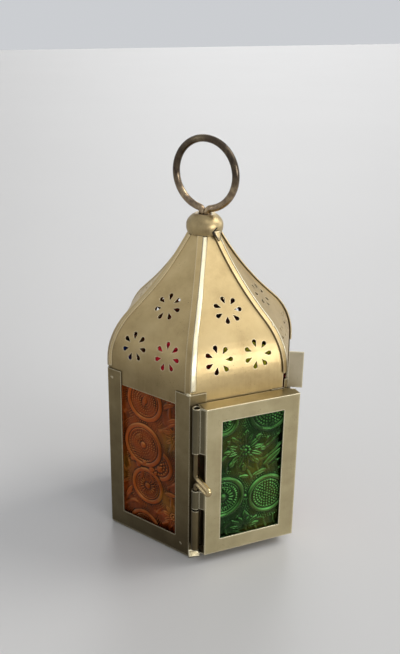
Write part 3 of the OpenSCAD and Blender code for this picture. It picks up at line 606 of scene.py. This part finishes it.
def pane(name, relief, origin, right, out, material, body, node):
    """A closed slab with the relief on its outer face, from the lower left corner of that face."""
    relief.finish()
    nx, nz = relief.nx, relief.nz
    corner, right, out = np.array(origin) / MM, np.array(right), np.array(out)
    flat = corner + relief.x[..., None] * right + relief.z[..., None] * np.array((0, 0, 1.0))
    front = (flat + (relief.h - RELIEF_H)[..., None] * out).reshape(-1, 3) * MM
    back = (flat - GLASS_T * out).reshape(-1, 3) * MM
    idx = np.arange(nx * nz).reshape(nz, nx)
    quads = np.stack([idx[:-1, :-1], idx[:-1, 1:], idx[1:, 1:], idx[1:, :-1]], -1).reshape(-1, 4)
    rim = np.concatenate([idx[0, :], idx[1:, -1], idx[-1, -2::-1], idx[-2:0:-1, 0]])
    n, start = len(rim), len(front)
    faces = quads.tolist()
    for k in range(n):
        a, b = int(rim[k]), int(rim[(k + 1) % n])
        faces.append([b, a, start + k, start + (k + 1) % n])
    faces.append([start + k for k in range(n - 1, -1, -1)])
    mesh = bpy.data.meshes.new(name)
    mesh.from_pydata(np.vstack([front, back[rim]]).tolist(), [], faces)
    mesh.polygons.foreach_set("use_smooth", [k < len(quads) for k in range(len(faces))])
    for key, values, rest in relief.fields():
        field = mesh.attributes.new(key, "FLOAT", "POINT")
        everywhere = np.concatenate([values.reshape(-1), np.full(n, rest)])
        field.data.foreach_set("value", everywhere.astype(np.float32))
    mesh.materials.append(material)
    mesh.update()
    ob = bpy.data.objects.new(name, mesh)
    scene.collection.objects.link(ob)
    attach(ob, body)
    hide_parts(node)


def fixed_pane(node, direction, relief, material):
    out, right = facing(direction)
    origin = [(PANE_A * out[i] - PANE_W / 2 * right[i]) * MM for i in range(3)]
    origin[2] = PANE_Z0 * MM
    pane("glass_" + node, relief, origin, right, out, material, "lantern", node)


def common_relief():
    """The pattern of the four fixed panes that hardly show."""
    r = Relief(PANE_W, PANE_H, 0.5, PANE_EDGE)
    r.leaf(23.9, 49.4, 11.4, 140, 1.9)
    r.leaf(28.1, 49.4, 11.4, 40, 1.9)
    r.medallion(7.8, 40, 14.6, "ribs", 36)
    r.medallion(44.2, 40, 14.6, "scales")
    r.medallion(26, 97.2, 14, "rings")
    r.medallion(3.1, 83.2, 9.9, "ribs", 26)
    r.medallion(48.9, 83.2, 9.9, "ribs", 26)
    r.rosette(26, 70.2, 12)
    r.rosette(26, 15.6, 11.4)
    return r


def amber_relief():
    """The front left pane; its window runs from 6 to 46 across and from 10.9 to 96.3 up."""
    r = Relief(PANE_W, PANE_H, 0.32, PANE_EDGE)
    r.rosette(44.7, 72.8, 8.8, 9)
    r.leaf(34.3, 88.4, 10.4, 30, 1.9, bow=1.0)
    r.leaf(38.5, 82, 8, 25, 1.6)
    r.leaf(34.5, 75.5, 8.5, 12, 1.7, bow=-0.8)
    r.medallion(32.2, 51.5, 9.9, "scales")
    r.medallion(21.8, 90, 12.7, "rings")
    r.leaf(20.6, 86.5, 7.5, 72, 1.7)
    r.medallion(20.3, 60.8, 13.8, "rings")
    r.ribs(20.3, 62.5, 2.0, 6.5, 30, 0.8, 10, 175)
    r.lines(7.5, 18.5, 50.5, 56.5, 1.5, 0.8)
    r.medallion(23.4, 34.3, 11.7, "ribs", 34)
    r.lines(24, 33.5, 38, 42.5, 1.5, 0.9, upright=True)
    for cx, cz, size in ((12, 49.5, 2.1), (16.5, 46.8, 2.3), (21.5, 49.3, 1.9), (26.5, 46.6, 2.5),
                         (32.5, 48.9, 2.4), (29.6, 45.2, 1.5), (19.2, 44.6, 1.4)):
        r.ball(cx, cz, size, 1.2)
    r.leaf(21, 45.5, 9, -110, 1.4)
    r.leaf(24.5, 45, 8, -60, 1.2)
    r.medallion(20.8, 4.7, 11.4, "ribs", 30)
    r.rosette(43.2, 20.3, 8.8, 9)
    r.leaf(36.4, 34.3, 9.4, 5, 1.5)
    r.leaf(6.2, 20.8, 10.4, 60, 1.8)
    return r


def door_relief(width, height):
    """The door's pane; its window runs from 4.8 to 42.9 across and from 4.4 to 80.5 up."""
    r = Relief(width, height, 0.3, 3.8)
    r.leaf(32, 46.3, 14.3, 40, 2.7, bow=-0.8)
    r.leaf(25.3, 41, 9.5, 15, 1.8)
    r.leaf(16.7, 42, 7.2, -10, 1.3)
    r.leaf(35.5, 44, 9, 30, 1.3, 0.8)
    r.rosette(20.3, 58.2, 11.9)
    for k in range(8):
        turn = 45 * k + 42
        a = math.radians(turn)
        r.leaf(20.3 + 8.6 * math.cos(a), 58.2 + 8.6 * math.sin(a), 4.6, turn, 1.7, 1.2)
    r.medallion(34.8, 81.1, 12.9, "scales")
    r.medallion(6.7, 78.7, 9.1, "ribs", 26)
    r.medallion(7.2, 30, 13.1, "ribs", 34)
    r.medallion(35.3, 26.7, 12.4, "scales")
    r.ball(21.2, 28.2, 1.3, 1.1)
    r.ribs(21.2, 30, 3, 9.5, 36, 0.8, -112, -68)
    for turn, length in ((90, 9.5), (145, 8.6), (35, 8.6), (118, 6.5), (62, 6.5), (172, 8),
                         (8, 8)):
        c, s = math.cos(math.radians(turn)), math.sin(math.radians(turn))
        r.leaf(21.2 + 1.5 * c, 7.2 + 1.5 * s, length, turn, 1.7, 1.2)
    return r


fixed_pane("pane_left_front", 210, amber_relief(), AMBER)
fixed_pane("pane_right_front", -30, common_relief(), RED)
fixed_pane("pane_right_back", 30, common_relief(), YELLOW)
fixed_pane("pane_back", 90, common_relief(), RED)
fixed_pane("pane_left_back", 150, common_relief(), BLUE)
lo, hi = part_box("door_pane")
pane("glass_door_pane", door_relief((hi.x - lo.x) / MM, (hi.z - lo.z) / MM), (lo.x, lo.y, lo.z),
     (1, 0, 0), (0, -1, 0), GREEN, "door", "door_pane")


# ---------------------------------------------------------------- marks of hand work
def small_piece(name, verts, faces, material):
    """A mesh in mm that rides on the lantern."""
    mesh = bpy.data.meshes.new(name)
    mesh.from_pydata([[c * MM for c in v] for v in verts], [], faces)
    mesh.polygons.foreach_set("use_smooth", [True] * len(faces))
    mesh.materials.append(material)
    mesh.update()
    ob = bpy.data.objects.new(name, mesh)
    scene.collection.objects.link(ob)
    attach(ob, "lantern")


def solder(name, point, normal, radius, height, seed, material=SOLDER):
    """A dab of solder: an uneven dome that sinks into the sheet at its rim."""
    rng = np.random.default_rng(seed)
    n = Vector(normal).normalized()
    u = n.orthogonal().normalized()
    v = n.cross(u)
    turns, rings = 20, 6
    angles = np.arange(turns) * 2 * math.pi / turns
    wobble = 1 + 0.22 * np.sin(angles * 2 + rng.uniform(0, 6))
    wobble += 0.12 * np.sin(angles * 3 + rng.uniform(0, 6))
    middle = Vector(point)
    verts = [middle + n * height]
    for k in range(1, rings + 1):
        t = k / rings
        rise = height * (1 - t ** 2.2) - 0.12 * t
        for j in range(turns):
            a = 2 * math.pi * j / turns
            r = radius * wobble[j] * t
            verts.append(middle + u * (r * math.cos(a)) + v * (r * math.sin(a)) + n * rise)
    faces = [(0, 1 + j, 1 + (j + 1) % turns) for j in range(turns)]
    for k in range(rings - 1):
        for j in range(turns):
            a, b = 1 + k * turns + j, 1 + k * turns + (j + 1) % turns
            faces.append((a, a + turns, b + turns, b))
    faces.append(tuple(1 + (rings - 1) * turns + j for j in range(turns - 1, -1, -1)))
    small_piece(name, verts, faces, material)


solder("solder_seam_top", (14.28, -22.72, 156.35), (0.685, -0.396, 0.611), 1.0, 0.55, 3)
solder("solder_seam_low", (24.34, -42.13, 135.25), (0.374, -0.648, 0.663), 1.1, 0.6, 5)
solder("solder_sill", (-32.93, -46.89, 7.4), (-0.866, -0.5, 0), 1.2, 0.12, 8, BODY_SHADED_GOLD)
solder("solder_far_post", (-58.43, -2.72, 100.09), (-0.866, -0.5, 0), 1.3, 0.14, 11, BODY_SHADED_GOLD)
solder("solder_front_corner", (-30.35, -50.85, 105.75), (-0.4, -0.69, 0.6), 1.3, 0.45, 14)


def sheet(name, rows, thick, material):
    """A thin closed sheet through rows of points, thick towards its back."""
    nr, nc = len(rows), len(rows[0])
    p = np.array(rows, float)
    n = np.cross(np.gradient(p, axis=1), np.gradient(p, axis=0))
    n /= np.linalg.norm(n, axis=2, keepdims=True)
    verts = np.concatenate([p.reshape(-1, 3), (p - thick * n).reshape(-1, 3)]).tolist()

    def at(i, j, side):
        return side * nr * nc + i * nc + j

    faces = []
    for i in range(nr - 1):
        for j in range(nc - 1):
            faces.append((at(i, j, 0), at(i, j + 1, 0), at(i + 1, j + 1, 0), at(i + 1, j, 0)))
            faces.append((at(i, j, 1), at(i + 1, j, 1), at(i + 1, j + 1, 1), at(i, j + 1, 1)))
    rim = [(0, j) for j in range(nc)] + [(i, nc - 1) for i in range(1, nr)]
    rim += [(nr - 1, j) for j in range(nc - 2, -1, -1)] + [(i, 0) for i in range(nr - 2, 0, -1)]
    for a, b in zip(rim, rim[1:] + rim[:1]):
        faces.append((at(*a, 0), at(*a, 1), at(*b, 1), at(*b, 0)))
    small_piece(name, verts, faces, material)


# Each roof panel's left edge is rolled over along its corner; the hems on the two lit panels are
# painted bright as a highlight
HEM_LOW, HEM_HIGH = 107.0, 180.4
HEM_STEPS = 96        # up the panel
HEM_ACROSS = 6
HEM_THICK = 0.3
RAY_FROM = 90         # rays start this far out
RAY_INSET = 1.2       # and meet the panel this far from its corner
HEMS = (("roof_panel_door", -90, 3.5, HEM_HIGHLIT_GOLD),
        ("roof_panel_right_front", -30, 2.9, HEM_HIGHLIT_GOLD),
        ("roof_panel_right_back", 30, 2.7, ROOF_GOLD),
        ("roof_panel_back", 90, 2.7, ROOF_GOLD),
        ("roof_panel_left_back", 150, 2.7, ROOF_GOLD),
        ("roof_panel_left_front", 210, 2.2, ROOF_GOLD))


def roof_line(node, out, right):
    """The apothem of a panel's outer face at each height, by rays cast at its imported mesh."""
    mesh = nodes[node].data
    tree = BVHTree.FromPolygons([v.co for v in mesh.vertices],
                                [tuple(p.vertices) for p in mesh.polygons])
    found = []
    for k in range(HEM_STEPS + 1):
        z = HEM_LOW + (HEM_HIGH - HEM_LOW) * k / HEM_STEPS
        guess = found[-1][0] if found else FACE_A
        sideways = right * (guess * HALF_TAN - RAY_INSET)
        hit = tree.ray_cast((out * RAY_FROM - sideways + Vector((0, 0, z))) * MM, -out)[0]
        if hit is not None:
            found.append(((hit / MM).dot(out), z))
    return found


def hem(node, direction, wide, material):
    out, right = map(Vector, facing(direction))
    line = roof_line(node, out, right)
    rows = []
    for k, (apothem, z) in enumerate(line):
        below, above = line[max(k - 1, 0)], line[min(k + 1, len(line) - 1)]
        lean = math.atan2(below[0] - above[0], above[1] - below[1])
        n = out * math.cos(lean) + Vector((0, 0, math.sin(lean)))
        up = (z - HEM_LOW) / (HEM_HIGH - HEM_LOW)
        width = wide - 0.7 * up + 0.12 * math.sin(17 * up + direction)
        row = []
        for j in range(HEM_ACROSS + 1):
            t = j / HEM_ACROSS
            lift = 0.12 + 0.42 * math.sin(math.pi * min(1, 0.18 + 0.82 * t)) ** 0.6
            lateral = -apothem * HALF_TAN + 0.25 + width * t
            row.append(list(out * apothem + right * lateral + Vector((0, 0, z)) + n * lift))
        rows.append(row)
    sheet("hem_" + node, rows, HEM_THICK, material)


def cap_tab():
    """The cap's skirt is torn beside the seam: a curled tab hangs from it."""
    top, length = 183.4, 5.6
    cap_radius, curl = 10.55, 1.0
    rows = []
    for i in range(9):
        t = i / 8
        left, right = 0.9 + 2.9 * t, 5.0 - 0.4 * t
        out = cap_radius + curl * math.sin(math.pi * 0.62 * t)
        row = []
        for j in range(6):
            x = left + (right - left) * j / 5
            row.append((x, -math.sqrt(max(out ** 2 - 0.55 * x * x, 1)), top - length * t))
        rows.append(row)
    sheet("cap_tab", rows, 0.35, CAP_GOLD)


def tear_shadow(name, points, width):
    """A dark sheet on the cap beside the tab, a painted shadow standing for the gap there, from one
    point to the next.
    """
    pts = [Vector(p) for p in points]
    rows = []
    for k, p in enumerate(pts):
        along = (pts[min(k + 1, len(pts) - 1)] - pts[max(k - 1, 0)]).normalized()
        out = Vector((p.x, p.y, 0)).normalized()
        half = 0.35 if k in (0, len(pts) - 1) else 0.5
        side = along.cross(out).normalized() * width * half
        rows.append([p - side, p + side * 0.1 + out * 0.05, p + side])
    sheet(name, rows, 0.1, TEAR_SHADOW_DARK)


def post_foot():
    """The front post's foot is beaten outwards under the keeper."""
    left, width = -30.1, 7.0
    face, gap = -52.0, 0.12     # the post's face, and how far the foot stands off it
    bottom, flare = 0.42, 1.35
    rows = []
    for i in range(7):
        v = i / 6
        row = []
        for j in range(9):
            u = j / 8
            top = 4.8 - 2.4 * u + 0.5 * math.sin(5 * u)
            beaten = flare * (1 - v) ** 1.6 * (0.75 + 0.35 * u)
            row.append((left + width * u, face - gap - beaten, bottom + top * v))
        rows.append(row)
    sheet("post_foot", rows, 0.5, SOLDER)


for node, direction, wide, material in HEMS:
    hem(node, direction, wide, material)
cap_tab()
# dark colour of the sheets painted as the shadow in the cap's torn gap
TEAR_SHADOW_DARK = plain("gap", (0.018, 0.013, 0.009), 0.7)
tear_shadow("cap_tear_up", [(3.3, -10.35, 185.4), (2.2, -10.62, 184.5), (1.2, -10.75, 183.6),
                     (0.3, -10.75, 182.8)], 0.75)
tear_shadow("cap_tear_down", [(0.3, -10.78, 182.8), (1.3, -11.15, 181.4), (2.5, -11.45, 180.0),
                       (3.9, -11.35, 178.2)], 0.8)
tear_shadow("cap_tear_right", [(3.6, -10.6, 181.9), (5.0, -10.3, 181.6), (5.4, -10.3, 180.2),
                        (5.0, -10.55, 178.0)], 0.6)
post_foot()

# ---------------------------------------------------------------- stage
FLOOR_REACH = 4
FLOOR_GREY = (0.73, 0.727, 0.725)
SKY_LIGHT = (0.98, 0.99, 1.0, 1)    # what lights the scene, at the strength below
SKY_STRENGTH = 0.27
SKY_SEEN = (0.60, 0.615, 0.64, 1)   # what the camera sees, straight on, mirrored or through glass

mesh = bpy.data.meshes.new("floor")
mesh.from_pydata([(x * FLOOR_REACH, y * FLOOR_REACH, 0)
                  for x, y in ((-1, -1), (1, -1), (1, 1), (-1, 1))], [], [(0, 1, 2, 3)])
mesh.materials.append(plain("floor", FLOOR_GREY, 0.45))
floor = bpy.data.objects.new("floor", mesh)
scene.collection.objects.link(floor)

world = bpy.data.worlds.new("world")
scene.world = world
world.use_nodes = True
sky, links = world.node_tree.nodes, world.node_tree.links
light = sky["Background"]
light.inputs["Color"].default_value = SKY_LIGHT
light.inputs["Strength"].default_value = SKY_STRENGTH
backdrop = sky.new("ShaderNodeBackground")
backdrop.inputs["Color"].default_value = SKY_SEEN
backdrop.inputs["Strength"].default_value = 1.0
ray = sky.new("ShaderNodeLightPath")
seen = ray.outputs["Is Camera Ray"]
for kind in ("Is Glossy Ray", "Is Transmission Ray"):
    either = sky.new("ShaderNodeMath")
    either.operation = "MAXIMUM"
    links.new(seen, either.inputs[0])
    links.new(ray.outputs[kind], either.inputs[1])
    seen = either.outputs[0]
choice = sky.new("ShaderNodeMixShader")
for index, output in enumerate((seen, light.outputs[0], backdrop.outputs[0])):
    links.new(output, choice.inputs[index])
links.new(choice.outputs[0], sky["World Output"].inputs["Surface"])

# Soft lights: name, compass turn, height and spread in degrees, strength, colour
WHITE = (1, 1, 1)
LAMPS = (("key", -8, 42, 34, 1.1, (1.0, 0.98, 0.94)),
         ("window", -48, 62, 56, 0.24, WHITE),
         ("band", -58, 38, 34, 0.16, WHITE),
         ("glass_glint", -92, 60, 10, 0.10, WHITE),
         ("rim", 62, 28, 34, 0.5, WHITE),
         ("side", 0, 8, 26, 0.3, WHITE),
         ("low", -62, 0, 36, 1.9, WHITE),
         ("glint_right", -66, 14, 3, 0.05, WHITE),
         ("glint_front", -104, 10, 3, 0.04, WHITE),
         ("glint_left", 172, 15, 3, 0.04, WHITE))
for name, turn, height, spread, strength, color in LAMPS:
    sun = bpy.data.lights.new(name, "SUN")
    sun.angle = math.radians(spread)
    sun.energy = strength
    sun.color = color
    t, h = math.radians(turn), math.radians(height)
    at = Vector((math.cos(h) * math.cos(t), math.cos(h) * math.sin(t), math.sin(h)))
    lamp = bpy.data.objects.new(name, sun)
    lamp.location = at * 2
    lamp.rotation_euler = (-at).to_track_quat("-Z", "Y").to_euler()
    scene.collection.objects.link(lamp)
